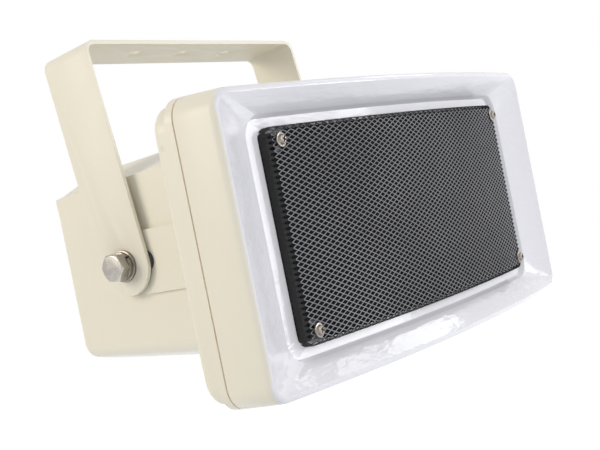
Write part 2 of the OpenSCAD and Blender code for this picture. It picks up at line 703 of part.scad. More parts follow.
// Line transformer on two posts, and the terminal block beside it
core_ear = core_w / 2 + 6;
core_ear_t = 1.2;
core_z = 8;
core_y1 = back_y - cab_t - 6;
block_z = core_z;
block_at = [-62, -48];
module transformer_core() {
    y0 = core_y1 - core_t;
    ear = core_ear_t;
    window_w = core_w / 6;
    window_h = core_h / 2;
    color("#6d6a68") hung() difference() {
        union() {
            translate([-core_w / 2, y0, core_z - core_h / 2]) cube([core_w, core_t, core_h]);
            translate([-core_ear - 5, core_y1 - ear, core_z - 6]) cube([2 * core_ear + 10, ear, 12]);
        }
        for (x = [-1, 1]) {
            translate([x * core_w / 4 - window_w / 2, y0 - 1, core_z - window_h / 2])
                cube([window_w, core_t - ear + 1, window_h]);
            bar_y(screw_d + 0.5, core_y1 - ear - 1, core_y1 + 1, x * core_ear, core_z);
        }
    }
}
module transformer_coil() {
    y0 = core_y1 - core_t;
    w = core_w / 3 - fit;
    window_h = core_h / 2 - 2 * fit;
    window_w = core_w / 6 - 2 * fit;
    over = 5;
    color("#c98a3a") hung() union() {
        for (x = [-1, 1]) translate([x * core_w / 4 - window_w / 2, y0 - over, core_z - window_h / 2])
            cube([window_w, core_t - 2 + over, window_h]);
        translate([-core_w / 4 - window_w / 2, y0 - over, core_z - window_h / 2])
            cube([core_w / 2 + window_w, over - fit, window_h]);
    }
}
module transformer_screws() {
    color("#c9c6c0") hung() for (x = [-1, 1])
        translate([x * core_ear, core_y1 - core_ear_t, core_z]) screw(core_screw_l);
}
module terminal_block() {
    y1 = back_y - cab_t - 3;
    color("#e6e4de") hung() difference() {
        translate([block_at[0] - 6, y1 - 10, block_z - 7]) cube([block_at[1] - block_at[0] + 12, 10, 14]);
        for (x = block_at) {
            bar_y(3, y1 - 11, y1 + 1, x, block_z);
            translate([x, y1 - 5.5, block_z - 8]) cylinder(d = 3.2, h = 16, $fn = 48);
        }
    }
}

// Cable gland low on the back
gland_z = -24;
gland_y = back_y;
module gland_body() {
    hex = gland_d + 6;
    color("#2b2b2d") hung() difference() {
        union() {
            bar_y(gland_d, gland_y - cab_t - 8, gland_y + 1, 0, gland_z);
            translate([0, gland_y, gland_z]) rotate([-90, 0, 0]) cylinder(d = hex / cos(30), h = 5, $fn = 6);
            bar_y(gland_d, gland_y + 4, gland_y + 12, 0, gland_z);
        }
        bar_y(cable_d + 3, gland_y - cab_t - 9, gland_y + 13, 0, gland_z);
    }
}
module gland_seal() {
    color("#19191b") hung() difference() {
        bar_y(cable_d + 2.8, gland_y + 5, gland_y + 13, 0, gland_z);
        bar_y(cable_d, gland_y + 4, gland_y + 14, 0, gland_z);
    }
}
module gland_nut() {
    nut = gland_d + 6;
    color("#2b2b2d") hung() difference() {
        union() {
            translate([0, gland_y + 5.2, gland_z]) rotate([-90, 0, 0]) cylinder(d = nut, h = 9, $fn = fine);
            translate([0, gland_y + 14.2, gland_z])
                rotate([-90, 0, 0]) cylinder(d1 = nut, d2 = cable_d + 5, h = 4.5, $fn = fine);
            for (t = [0:30:330]) rotate_about(t) bar_y(1.8, gland_y + 5.2, gland_y + 14, nut / 2, gland_z);
        }
        bar_y(gland_d + 0.2, gland_y + 5, gland_y + 13.2, 0, gland_z);
        bar_y(cable_d + 0.6, gland_y + 12, gland_y + 20, 0, gland_z);
    }
}
module rotate_about(t) {
    translate([0, 0, gland_z]) rotate([0, t, 0]) translate([0, 0, -gland_z]) children();
}
module gland_locknut() {
    color("#2b2b2d") hung() difference() {
        translate([0, gland_y - cab_t - 4.5, gland_z])
            rotate([-90, 0, 0]) cylinder(d = (gland_d + 6) / cos(30), h = 4.5, $fn = 6);
        bar_y(gland_d, gland_y - cab_t - 6, gland_y, 0, gland_z);
    }
}

bracket();
front_bezel();
grille();
grille_screws();
dust_cloth();
seal_ring();
rear_cabinet();
cabinet_screws();
pivot_bolts();
spring_washers();
flat_washers();
lock_discs();
threaded_inserts();
horn_flare();
driver_gasket();
driver_basket();
driver_screws();
top_plate();
magnet();
back_plate();
voice_coil();
cone();
dust_cap();
surround();
spider();
transformer_core();
transformer_coil();
transformer_screws();
terminal_block();
gland_body();
gland_seal();
gland_nut();
gland_locknut();
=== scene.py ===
import math

import bpy
from mathutils import Matrix, Vector


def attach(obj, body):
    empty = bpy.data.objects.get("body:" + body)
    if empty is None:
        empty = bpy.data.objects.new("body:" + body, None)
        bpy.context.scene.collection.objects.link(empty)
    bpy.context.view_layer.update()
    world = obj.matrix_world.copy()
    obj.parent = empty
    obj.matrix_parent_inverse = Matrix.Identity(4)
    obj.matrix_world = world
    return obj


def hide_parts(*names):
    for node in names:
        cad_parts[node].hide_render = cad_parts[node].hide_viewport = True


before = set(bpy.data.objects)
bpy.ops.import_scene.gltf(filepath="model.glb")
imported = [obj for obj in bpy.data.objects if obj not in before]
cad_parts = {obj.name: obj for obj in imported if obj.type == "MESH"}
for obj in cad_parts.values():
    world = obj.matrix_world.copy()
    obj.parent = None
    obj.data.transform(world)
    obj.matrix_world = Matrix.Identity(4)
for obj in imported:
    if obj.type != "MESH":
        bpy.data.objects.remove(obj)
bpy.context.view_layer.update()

# The speaker hangs 112 mm below the mounting face and is aimed 6.6 degrees down
PIVOT_DROP = 0.112
AIM = math.radians(6.6)
HANG = Matrix.Translation((0, 0, -PIVOT_DROP)) @ Matrix.Rotation(AIM, 4, "X")
UNHANG = HANG.inverted()

# The front is 290 x 130 mm, and its middle stands 13 mm ahead of its ends
FACE_W = 0.290
FACE_H = 0.130
FACE_BOW = 0.013
FACE_END_Y = -0.1187
BOW_R = ((FACE_W / 2) ** 2 + FACE_BOW**2) / (2 * FACE_BOW)
RIM_Y = FACE_END_Y - FACE_BOW

# How far behind the rim the grille's face and the recess floor lie
GRILLE_DEPTH = 0.0073
FLOOR_DEPTH = 0.0132

# The cream moulding is painted a cooler white inside this rounded outline on the rim's crest, as painted
# light of the cool front lamps
CREST_X = FACE_W / 2 - 0.0016
CREST_Z = FACE_H / 2 + 0.0002
CREST_R = 0.0088

# The skirt above and below stays cream from here
SKIRT_DEPTH = 0.0029
SKIRT_Z = FACE_H / 2 - 0.0030

# The posts that hold the grille's screws, and the depth at which they start
POST_X = 0.1037
POST_Z = 0.0412
POST_R = 0.0042
POST_DEPTH = 0.0055

# The photograph's camera, fitted to its edges: its place and turn in the speaker's own frame
CAMERA_AT = (-0.50014, FACE_END_Y - 0.28234, 0.01238)
CAMERA_YAW = 0.953120
CAMERA_PITCH = -0.0169355
CAMERA_ROLL = -0.1984326
CAMERA_LENS = 69.0


def bow(x):
    """How far behind the rim's middle the bowed front lies at x."""
    return BOW_R - math.sqrt(BOW_R * BOW_R - x * x)


def photograph_camera():
    data = bpy.data.cameras.new("photo_camera")
    data.sensor_width = 36.0
    data.lens = CAMERA_LENS
    data.clip_start = 0.01
    camera = bpy.data.objects.new("photo_camera", data)
    bpy.context.scene.collection.objects.link(camera)
    flat = math.cos(CAMERA_PITCH)
    ahead = Vector((math.sin(CAMERA_YAW) * flat, math.cos(CAMERA_YAW) * flat, math.sin(CAMERA_PITCH)))
    level = Vector((math.cos(CAMERA_YAW), -math.sin(CAMERA_YAW), 0.0))
    over = level.cross(ahead)
    right = level * math.cos(CAMERA_ROLL) + over * math.sin(CAMERA_ROLL)
    up = over * math.cos(CAMERA_ROLL) - level * math.sin(CAMERA_ROLL)
    turn = Matrix((right, up, -ahead)).transposed().to_4x4()
    camera.matrix_world = HANG @ Matrix.Translation(CAMERA_AT) @ turn
    bpy.context.scene.camera = camera


# Finishes


def new_finish(name):
    """A fresh material, its tree and shader, and the object's own coordinates in metres."""
    material = bpy.data.materials.new(name)
    material.use_nodes = True
    tree = material.node_tree
    shader = tree.nodes["Principled BSDF"]
    place = tree.nodes.new("ShaderNodeTexCoord")
    return material, tree, shader, place.outputs["Object"]


def grain(tree, place, scale, detail=3.0, roughness=0.5, stretch=None):
    """Noise with so many patches to the metre, drawn out along an axis where stretch says so."""
    noise = tree.nodes.new("ShaderNodeTexNoise")
    noise.inputs["Scale"].default_value = scale
    noise.inputs["Detail"].default_value = detail
    noise.inputs["Roughness"].default_value = roughness
    if stretch:
        mapping = tree.nodes.new("ShaderNodeMapping")
        mapping.inputs["Scale"].default_value = stretch
        tree.links.new(place, mapping.inputs["Vector"])
        place = mapping.outputs["Vector"]
    tree.links.new(place, noise.inputs["Vector"])
    return noise.outputs["Fac"]


def tint(tree, shader, fac, dark, light, low=0.35, high=0.65):
    """Lets the colour wander between two close ones."""
    ramp = tree.nodes.new("ShaderNodeValToRGB")
    ramp.color_ramp.elements[0].position = low
    ramp.color_ramp.elements[1].position = high
    ramp.color_ramp.elements[0].color = (*dark, 1)
    ramp.color_ramp.elements[1].color = (*light, 1)
    tree.links.new(fac, ramp.inputs["Fac"])
    tree.links.new(ramp.outputs["Color"], shader.inputs["Base Color"])


def sheen_range(tree, shader, fac, low, high):
    """Lets the roughness wander between two values."""
    spread = tree.nodes.new("ShaderNodeMapRange")
    spread.inputs["To Min"].default_value = low
    spread.inputs["To Max"].default_value = high
    tree.links.new(fac, spread.inputs["Value"])
    tree.links.new(spread.outputs["Result"], shader.inputs["Roughness"])


def relief(tree, shader, fac, depth, strength=1.0, under=None):
    """Fine relief of this depth in metres, on top of the coarser one in under."""
    bump = tree.nodes.new("ShaderNodeBump")
    bump.inputs["Distance"].default_value = depth
    bump.inputs["Strength"].default_value = strength
    tree.links.new(fac, bump.inputs["Height"])
    if under:
        tree.links.new(under, bump.inputs["Normal"])
    tree.links.new(bump.outputs["Normal"], shader.inputs["Normal"])
    return bump.outputs["Normal"]


def moulding_finish(name, dark, light, rough, wave=0.0):
    """Gloss moulding: faint clouding, fine orange peel, and a slow waviness that breaks up reflections."""
    material, tree, shader, place = new_finish(name)
    tint(tree, shader, grain(tree, place, 9.0, 2.0), dark, light)
    sheen_range(tree, shader, grain(tree, place, 60.0, 4.0), rough * 0.85, rough * 1.2)
    slow = None
    if wave:
        drawn_out = grain(tree, place, 22.0, 4.0, 0.62, (1.0, 2.6, 2.6))
        slow = relief(tree, shader, drawn_out, wave)
    relief(tree, shader, grain(tree, place, 1100.0, 2.0), 0.00002, 0.25, slow)
    shader.inputs["Specular IOR Level"].default_value = 0.28 if wave else 0.35
    return material


def paint_finish(name, dark, light, rough):
    """Powder coat: soft gloss over a fine pebbled skin."""
    material, tree, shader, place = new_finish(name)
    tint(tree, shader, grain(tree, place, 12.0, 3.0), dark, light)
    sheen_range(tree, shader, grain(tree, place, 80.0, 4.0), rough * 0.85, rough * 1.2)
    relief(tree, shader, grain(tree, place, 700.0, 3.0), 0.00005, 0.35)
    shader.inputs["Specular IOR Level"].default_value = 0.35
    return material


def metal_finish(name, dark, light, rough, stretch=None, scale=300.0):
    """Bare metal with a fine grain."""
    material, tree, shader, place = new_finish(name)
    shader.inputs["Metallic"].default_value = 1.0
    fac = grain(tree, place, scale, 5.0, 0.6, stretch)
    tint(tree, shader, fac, dark, light, 0.3, 0.7)
    sheen_range(tree, shader, fac, rough * 0.7, rough * 1.4)
    relief(tree, shader, fac, 0.00003, 0.3)
    return material


def dull_finish(name, dark, light, rough, scale=500.0, depth=0.00005):
    """Rubber, plain plastic, paper and the like."""
    material, tree, shader, place = new_finish(name)
    fac = grain(tree, place, scale, 4.0, 0.6)
    tint(tree, shader, fac, dark, light, 0.3, 0.7)
    sheen_range(tree, shader, fac, rough * 0.85, min(1.0, rough * 1.15))
    relief(tree, shader, fac, depth, 0.4)
    return material


def cloth_finish(name, dark, light, scale=83.333333):
    """Cloth with a coarse check: two crossed bands, one every 3.8 mm at this scale."""
    material, tree, shader, place = new_finish(name)
    waves = []
    for direction in ("X", "Z"):
        wave = tree.nodes.new("ShaderNodeTexWave")
        wave.bands_direction = direction
        wave.inputs["Scale"].default_value = scale
        tree.links.new(place, wave.inputs["Vector"])
        waves.append(wave.outputs["Fac"])
    cross = tree.nodes.new("ShaderNodeMath")
    cross.operation = "MAXIMUM"
    tree.links.new(waves[0], cross.inputs[0])
    tree.links.new(waves[1], cross.inputs[1])
    tint(tree, shader, cross.outputs[0], dark, light, 0.2, 0.9)
    relief(tree, shader, cross.outputs[0], 0.0001, 0.5)
    shader.inputs["Roughness"].default_value = 0.9
    shader.inputs["Specular IOR Level"].default_value = 0.1
    return material


def finishes():
    """Every finish: its dark and light colour, its roughness, then what differs from the usual grain."""
    return {
        "cream": moulding_finish("cream_moulding", (0.775, 0.736, 0.622), (0.795, 0.756, 0.642), 0.34),
        # Painted light: a cooler white for the front's crest, flare and recess, standing in for the cool
        # front lamps on what is one cream plastic
        "white": moulding_finish("front_painted_cool_light", (0.765, 0.758, 0.780), (0.783, 0.776, 0.798), 0.08, 0.0008),
        "paint": paint_finish("cream_paint", (0.775, 0.738, 0.628), (0.795, 0.758, 0.648), 0.42),
        # Painted sheen and shade: the expanded metal's one dark paint in two copies, a lighter grey where
        # strands face forwards as painted sheen, and near-black on flanks, rolled edge and wall as painted
        # shade
        "mesh": paint_finish("black_mesh", (0.265, 0.265, 0.275), (0.345, 0.345, 0.360), 0.32),
        "mesh_painted_shade": paint_finish("black_mesh_painted_shade", (0.010, 0.010, 0.010), (0.018, 0.018, 0.018), 0.6),
        "steel": metal_finish("stainless", (0.40, 0.38, 0.35), (0.58, 0.56, 0.52), 0.30),
        "bolt": metal_finish("bolt_steel", (0.36, 0.34, 0.315), (0.44, 0.42, 0.385), 0.26),
        "screw": metal_finish("screw_steel", (0.20, 0.18, 0.16), (0.34, 0.31, 0.27), 0.34),
        # Painted highlight: the raised triangle is moulded in the same cream plastic and made lighter to
        # stand in for the light it catches
        "mark": moulding_finish("cream_mark_painted_highlight", (0.86, 0.82, 0.70), (0.88, 0.84, 0.72), 0.3),
        "cloth": cloth_finish("black_cloth", (0.006, 0.006, 0.007), (0.014, 0.014, 0.016)),
        "seal": dull_finish("tan_seal", (0.78, 0.58, 0.38), (0.86, 0.66, 0.46), 0.7),
        "rubber": dull_finish("black_rubber", (0.010, 0.010, 0.011), (0.022, 0.022, 0.024), 0.55),
        "brass": metal_finish("brass", (0.68, 0.50, 0.20), (0.80, 0.62, 0.30), 0.3),
        "plastic": dull_finish("black_plastic", (0.018, 0.018, 0.020), (0.034, 0.034, 0.038), 0.45),
        "plate": metal_finish("plain_steel", (0.40, 0.40, 0.41), (0.55, 0.55, 0.56), 0.38),
        "ferrite": dull_finish("ferrite", (0.045, 0.045, 0.048), (0.075, 0.075, 0.080), 0.6, 900.0),
        "copper": metal_finish("copper_wire", (0.62, 0.34, 0.14), (0.8, 0.47, 0.22), 0.32, (1, 1, 6), 400.0),
        "paper": dull_finish("black_paper", (0.02, 0.02, 0.022), (0.045, 0.045, 0.048), 0.85, 1200.0, 0.0001),
        "amber": cloth_finish("amber_cloth", (0.48, 0.33, 0.13), (0.64, 0.47, 0.22)),
        "core": metal_finish("laminations", (0.2, 0.19, 0.18), (0.34, 0.33, 0.32), 0.45, (1, 14, 1), 200.0),
        "nylon": dull_finish("white_nylon", (0.76, 0.75, 0.70), (0.84, 0.83, 0.79), 0.5),
    }


# The finish of each CAD node, for the ones that show as they are and for the ones that a piece replaces
NODE_FINISH = {
    "grille_screws": "steel", "dust_cloth": "cloth", "seal_ring": "seal", "cabinet_screws": "steel",
    "pivot_bolts": "bolt", "spring_washers": "steel", "flat_washers": "steel", "lock_discs": "rubber",
    "threaded_inserts": "brass", "horn_flare": "plastic", "driver_gasket": "rubber",
    "driver_basket": "plate", "driver_screws": "plate", "top_plate": "plate", "magnet": "ferrite",
    "back_plate": "plate", "voice_coil": "copper", "cone": "paper", "dust_cap": "paper",
    "surround": "rubber", "spider": "amber", "transformer_core": "core", "transformer_coil": "copper",
    "transformer_screws": "plate", "terminal_block": "nylon", "gland_body": "plastic",
    "gland_seal": "rubber", "gland_nut": "plastic", "gland_locknut": "plastic", "grille": "mesh",
    "front_bezel": "cream", "rear_cabinet": "cream", "bracket": "paint",
}


# Modelling helpers


def clear_selection():
    if bpy.context.object and bpy.context.object.mode != "OBJECT":
        bpy.ops.object.mode_set(mode="OBJECT")
    bpy.ops.object.select_all(action="DESELECT")


def only(piece):
    """Makes this the only selected piece, and the active one."""
    clear_selection()
    piece.select_set(True)
    bpy.context.view_layer.objects.active = piece


def apply_modifiers(piece):
    only(piece)
    for modifier in list(piece.modifiers):
        bpy.ops.object.modifier_apply(modifier=modifier.name)


def pick(piece, test, kind="FACE"):
    """Selects, in edit mode, the faces whose middle passes the test, or the edges whose run does."""
    only(piece)
    bpy.ops.object.mode_set(mode="EDIT")
    bpy.ops.mesh.select_mode(type=kind)
    bpy.ops.mesh.select_all(action="DESELECT")
    bpy.ops.object.mode_set(mode="OBJECT")
    mesh = piece.data
    if kind == "FACE":
        for face in mesh.polygons:
            face.select = test(face.center)
    else:
        for edge in mesh.edges:
            start, end = (mesh.vertices[v].co for v in edge.vertices)
            edge.select = test(end - start)
    bpy.ops.object.mode_set(mode="EDIT")


def ease_edges(piece, width, angle=30.0, segments=2):
    bevel = piece.modifiers.new("eased_edge", "BEVEL")
    bevel.width = width
    bevel.segments = segments
    bevel.limit_method = "ANGLE"
    bevel.angle_limit = math.radians(angle)
    apply_modifiers(piece)


def joined(parts, name):
    only(parts[0])
    for part in parts[1:]:
        part.select_set(True)
    bpy.ops.object.join()
    parts[0].name = name
    return parts[0]


def dressed_copy(node, name, edge, angle=30.0, first=None):
    """A copy of a solid with its flat triangles merged, its sharp edges eased and its curves smooth.

    edge is the width of an eased edge, and first reshapes the copy's mesh before its edges are eased.
    """
    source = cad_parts[node]
    piece = bpy.data.objects.new(name, source.data.copy())
    bpy.context.scene.collection.objects.link(piece)
    piece.data.materials.clear()
    only(piece)
    bpy.ops.object.mode_set(mode="EDIT")
    bpy.ops.mesh.select_all(action="SELECT")
    bpy.ops.mesh.remove_doubles(threshold=0.000002)
    bpy.ops.mesh.customdata_custom_splitnormals_clear()
    bpy.ops.mesh.dissolve_limited(angle_limit=math.radians(0.4), delimit={"NORMAL"})
    bpy.ops.object.mode_set(mode="OBJECT")
    if first:
        first(piece.data)
    ease_edges(piece, edge, angle)
    only(piece)
    bpy.ops.object.shade_smooth_by_angle(angle=math.radians(angle))
    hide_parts(node)
    return piece


# Pieces


def speaker_front(finish):
    """The front moulding: cream outside, and from the rim's crest inwards a cooler white as painted light of
    the front lamps on the one cream plastic, and the posts behind in dark plastic as painted shade.
    """
    piece = dressed_copy("front_bezel", "front_moulding", 0.0003)
    piece.data.materials.append(finish["cream"])
    piece.data.materials.append(finish["white"])
    piece.data.materials.append(finish["plastic"])
    cream, white, black = range(3)
    for face in piece.data.polygons:
        at = UNHANG @ face.center
        over_x = max(0.0, abs(at.x) - (CREST_X - CREST_R))
        over_z = max(0.0, abs(at.z) - (CREST_Z - CREST_R))
        depth = at.y - RIM_Y - bow(at.x)
        inside = math.hypot(over_x, over_z) < CREST_R and -0.001 < depth < FLOOR_DEPTH + 0.0006
        skirt = depth >= SKIRT_DEPTH and abs(at.z) >= SKIRT_Z
        # Painted light: forward-facing faces from the crest inwards take the cooler white, though the
        # moulding is one cream plastic
        face.material_index = white if inside and not skirt and face.normal.y < 0.3 else cream
        # Painted shade: the grille's screw posts behind the mesh take the dark plastic finish, standing in
        # for the shade behind the grille, though they are part of the cream moulding
        from_post = math.hypot(abs(at.x) - POST_X, abs(at.z) - POST_Z)
        if from_post < POST_R and POST_DEPTH < depth < FLOOR_DEPTH - 0.001:
            face.material_index = black
    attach(piece, "speaker_head")


def speaker_cabinet(finish):
    """The cabinet, with flat faces that shade flat beside its rounded edges."""
    piece = dressed_copy("rear_cabinet", "cabinet_moulding", 0.0003, first=shape_top_corners)
    flat = piece.modifiers.new("flat_faces", "WEIGHTED_NORMAL")
    flat.keep_sharp = True
    apply_modifiers(piece)
    piece.data.materials.append(finish["cream"])
    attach(piece, "speaker_head")


def folded_bracket(finish):
    piece = dressed_copy("bracket", "folded_bracket", 0.0004)
    piece.data.materials.append(finish["paint"])
    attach(piece, "bracket_frame")


# The rear housing's ends along y, its side, top and crown at the front, and what each loses by the rear
HOUSING_Y = -0.0847
HOUSING_END = 0.0463
HOUSING_SIDE, SIDE_LOSS = 0.0844, 0.0016
HOUSING_TOP, TOP_LOSS = 0.049, 0.006
HOUSING_CROWN, CROWN_LOSS = 0.014, 0.002
HOUSING_CORNER = 0.006
BOSS_SIDE = 0.0856

# The top corners are drawn out to a square of this half size, and sink from the middle out: this far at
# the front and twice as far at the rear, fading to nothing at the shoulder
CRISP_CORNER = 0.0058
ROUND_FROM = 0.0052
CORNER_DROP = 0.0018
DROP_FROM, DROP_WIDTH = 0.048, 0.035
SHOULDER_Z, SHOULDER_HEIGHT = 0.025, 0.010


def share(value):
    """The value, held between 0 and 1."""
    return max(0.0, min(1.0, value))


def shape_top_corners(mesh):
    """The housing's side meets its top in a crisp, lower line, while the bottom keeps its round corner."""
    for vertex in mesh.vertices:
        at = UNHANG @ vertex.co
        if at.y < HOUSING_Y - 0.0001 or at.z < SHOULDER_Z or abs(at.x) > BOSS_SIDE:
            continue
        back = (at.y - HOUSING_Y) / (HOUSING_END - HOUSING_Y)
        side = HOUSING_SIDE - SIDE_LOSS * back
        crown = (HOUSING_CROWN - CROWN_LOSS * back) * (1 - (at.x / side) ** 2)
        core_x = side - HOUSING_CORNER
        core_z = HOUSING_TOP - TOP_LOSS * back - HOUSING_CORNER
        over_x = abs(at.x) - core_x
        over_z = at.z - crown - core_z
        if over_x > 0 and over_z > 0 and math.hypot(over_x, over_z) > ROUND_FROM:
            reach = max(over_x, over_z)
            at.x = math.copysign(core_x + over_x / reach * CRISP_CORNER, at.x)
            at.z = core_z + over_z / reach * CRISP_CORNER + crown
        out = share((abs(at.x) - DROP_FROM) / DROP_WIDTH)
        up = share((at.z - SHOULDER_Z) / SHOULDER_HEIGHT)
        at.z -= CORNER_DROP * (1 + back) * out * out * (3 - 2 * out) * up
        vertex.co = HANG @ at


def cylinder_across(name, radius, x0, x1, y=0.0, z=0.0, sides=64):
    """A cylinder along x, in the speaker's own frame."""
    clear_selection()
    length = abs(x1 - x0)
    bpy.ops.mesh.primitive_cylinder_add(vertices=sides, radius=radius, depth=length, end_fill_type="NGON")
    piece = bpy.context.object
    piece.name = name
    piece.data.transform(Matrix.Translation(((x0 + x1) / 2, y, z)) @ Matrix.Rotation(math.pi / 2, 4, "Y"))
    return piece


def combine(piece, tool, operation):
    """Joins the tool to the piece or cuts it away."""
    cut = piece.modifiers.new("cut", "BOOLEAN")
    cut.object = tool
    cut.operation = operation
    cut.solver = "EXACT"
    apply_modifiers(piece)
    bpy.data.objects.remove(tool)


# The lock disc under each arm, from its inner to its outer face, its lug and its bore
DISC_R = 0.0147
DISC_FACES = 0.0857, 0.0869
LUG_R, LUG_Y, LUG_Z = 0.0056, -0.0112, 0.0006
BORE_R = 0.0042
BORE_ENDS = 0.084, 0.088


def lock_discs(finish):
    """Rubber discs under the arms, each with one rounded lug that shows past the arm's front edge."""
    parts = []
    for side in (-1, 1):
        inner, outer = (side * x for x in DISC_FACES)
        disc = cylinder_across("lock_disc", DISC_R, inner, outer)
        combine(disc, cylinder_across("lug", LUG_R, inner, outer, LUG_Y, LUG_Z, 40), "UNION")
        inner, outer = (side * x for x in BORE_ENDS)
        combine(disc, cylinder_across("bore", BORE_R, inner, outer), "DIFFERENCE")
        ease_edges(disc, 0.00025)
        disc.data.transform(HANG)
        parts.append(disc)
    piece = joined(parts, "rubber_lock_discs")
    only(piece)
    bpy.ops.object.shade_smooth_by_angle(angle=math.radians(30))
    piece.data.materials.clear()
    piece.data.materials.append(finish["rubber"])
    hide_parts("lock_discs")
    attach(piece, "speaker_head")


# The raised triangle's corners as y and z, and its inner and outer face along x
MARK_CORNERS = (-0.0885, 0.0480), (-0.0885, 0.0440), (-0.0907, 0.0457)
MARK_INNER, MARK_OUTER = 0.1452, 0.1457


def moulded_mark(finish):
    """The small raised triangle on each side of the cabinet's front pan, pointing forwards, lighter than the
    cream moulding as a painted highlight.
    """
    parts = []
    for side in (-1, 1):
        clear_selection()
        bpy.ops.mesh.primitive_cylinder_add(vertices=3, radius=1.0, depth=0.0006, end_fill_type="NGON")
        mark = bpy.context.object
        edges = {}
        for vertex in mark.data.vertices:
            around = round(math.degrees(math.atan2(vertex.co.y, vertex.co.x)))
            edges.setdefault(around, []).append(vertex)
        for (y, z), around in zip(MARK_CORNERS, sorted(edges)):
            for vertex in edges[around]:
                vertex.co = Vector((side * (MARK_OUTER if vertex.co.z > 0 else MARK_INNER), y, z))
        ease_edges(mark, 0.0001, segments=1)
        mark.data.transform(HANG)
        parts.append(mark)
    piece = joined(parts, "pan_mark")
    only(piece)
    bpy.ops.object.mode_set(mode="EDIT")
    bpy.ops.mesh.select_all(action="SELECT")
    bpy.ops.mesh.normals_make_consistent(inside=False)
    bpy.ops.object.mode_set(mode="OBJECT")
    piece.data.materials.clear()
    piece.data.materials.append(finish["mark"])
    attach(piece, "speaker_head")


# The flat on the hexagon heads, inside the chamfer, and how deep the chamfer reaches at most
HEAD_FLAT_R = 0.006175
HEAD_CHAMFER = 0.0030


def true_chamfer(mesh):
    """Brings the hexagon heads' chamfer back to the usual 30 degrees, so that the six corners show."""
    face_x = max(abs(vertex.co.x) for vertex in mesh.vertices)
    for vertex in mesh.vertices:
        at = UNHANG @ vertex.co
        radius = math.hypot(at.y, at.z)
        if face_x - abs(at.x) < HEAD_CHAMFER and radius > HEAD_FLAT_R - 0.000025:
            fall = max(0.0, radius - HEAD_FLAT_R) * math.tan(math.radians(30))
            vertex.co.x = math.copysign(face_x - fall, vertex.co.x)


def small_hardware(finish):
    """Bolts, washers and screws with eased edges that catch the light."""
    for node, name, edge, look, first in (
        ("pivot_bolts", "hex_bolts", 0.00025, "bolt", true_chamfer),
        ("flat_washers", "plain_washers", 0.0002, "screw", None),
        ("spring_washers", "split_washers", 0.00015, "screw", None),
        ("grille_screws", "mesh_screws", 0.00012, "screw", None),
    ):
        piece = dressed_copy(node, name, edge, 28.0, first)
        piece.data.materials.append(finish[look])
        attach(piece, "speaker_head")


# The mesh pan's half width and half height, its corners, rolled edge and depth
MESH_W, MESH_H, MESH_R = 0.110, 0.0475, 0.005
MESH_ROLL = 0.0022
MESH_DEPTH = 0.0056

# How far the sheet runs past where its rolled edge starts, and how far that lies past the pan's outline
MESH_WALL = MESH_ROLL * math.pi / 2 + MESH_DEPTH - MESH_ROLL
MESH_FOOT = MESH_WALL - MESH_ROLL

# One diamond of the expanded metal, its strand, the sheet, and how far a strand's sides fall away
CELL_X, CELL_Z = 0.00515, 0.00245
STRAND = 0.00041
SHEET = 0.00045
STRAND_FALL = 0.00022


def corner_reach(x, z):
    """How far a point lies out from the straight box that the pan's rounded corners turn about."""
    return math.hypot(max(0.0, abs(x) - (MESH_W - MESH_R)), max(0.0, abs(z) - (MESH_H - MESH_R)))


def roll_over_edge(co):
    """Folds a flat sheet's border over the pan's rounded edge, then lays the sheet on the front's bow."""
    core_x, core_z = MESH_W - MESH_R, MESH_H - MESH_R
    foot = Vector((max(-core_x, min(core_x, co.x)), 0, max(-core_z, min(core_z, co.z))))
    out = Vector((co.x, 0, co.z)) - foot
    reach = out.length
    start = MESH_R - MESH_ROLL
    depth = co.y
    if reach > start:
        along = (reach - start) / MESH_ROLL
        if along < math.pi / 2:
            flat = start + MESH_ROLL * math.sin(along)
            down = MESH_ROLL * (1 - math.cos(along))
        else:
            flat = MESH_R
            down = MESH_ROLL + (reach - start - MESH_ROLL * math.pi / 2)
        out = out * (flat / reach)
        depth += down
    at = foot + out
    return Vector((at.x, depth + RIM_Y + GRILLE_DEPTH + bow(at.x), at.z))


def sheet_of_diamonds(across, up, finish):
    """A flat sheet of diamonds, open over the pan's face and closed where its wall will be."""
    clear_selection()
    bpy.ops.mesh.primitive_grid_add(x_subdivisions=across, y_subdivisions=up, size=1.0)
    piece = bpy.context.object
    piece.name = "mesh_grille"
    piece.data.materials.append(finish["mesh"])
    piece.data.materials.append(finish["mesh_painted_shade"])
    bpy.ops.object.mode_set(mode="EDIT")
    bpy.ops.mesh.select_all(action="SELECT")
    bpy.ops.transform.resize(value=(across * CELL_X, up * CELL_Z, 1))
    bpy.ops.mesh.poke()
    bpy.ops.object.mode_set(mode="OBJECT")
    pick(piece, lambda run: abs(run.x) < 1e-6 or abs(run.y) < 1e-6, "EDGE")
    bpy.ops.mesh.dissolve_edges(use_verts=False)
    bpy.ops.mesh.select_mode(type="FACE")
    bpy.ops.mesh.select_all(action="SELECT")
    bpy.ops.mesh.inset(thickness=STRAND / 2, use_individual=True, use_even_offset=True)
    bpy.ops.object.mode_set(mode="OBJECT")
    # Faces outside the pan's face become the wall and take the near-black copy, as painted shade
    for face in piece.data.polygons:
        if corner_reach(face.center.x, face.center.y) > MESH_R:
            face.select = False
            face.material_index = 1
    bpy.ops.object.mode_set(mode="EDIT")
    bpy.ops.mesh.delete(type="FACE")
    for side in (-1, 1):
        end = Vector(((MESH_W + MESH_FOOT) * side, 0, 0))
        top = Vector((0, (MESH_H + MESH_FOOT) * side, 0))
        for edge in (end, top):
            bpy.ops.mesh.select_all(action="SELECT")
            bpy.ops.mesh.bisect(plane_co=edge, plane_no=edge.normalized(), clear_outer=True)
    bpy.ops.object.mode_set(mode="OBJECT")
    piece.data.transform(Matrix.Rotation(math.pi / 2, 4, "X"))
    return piece


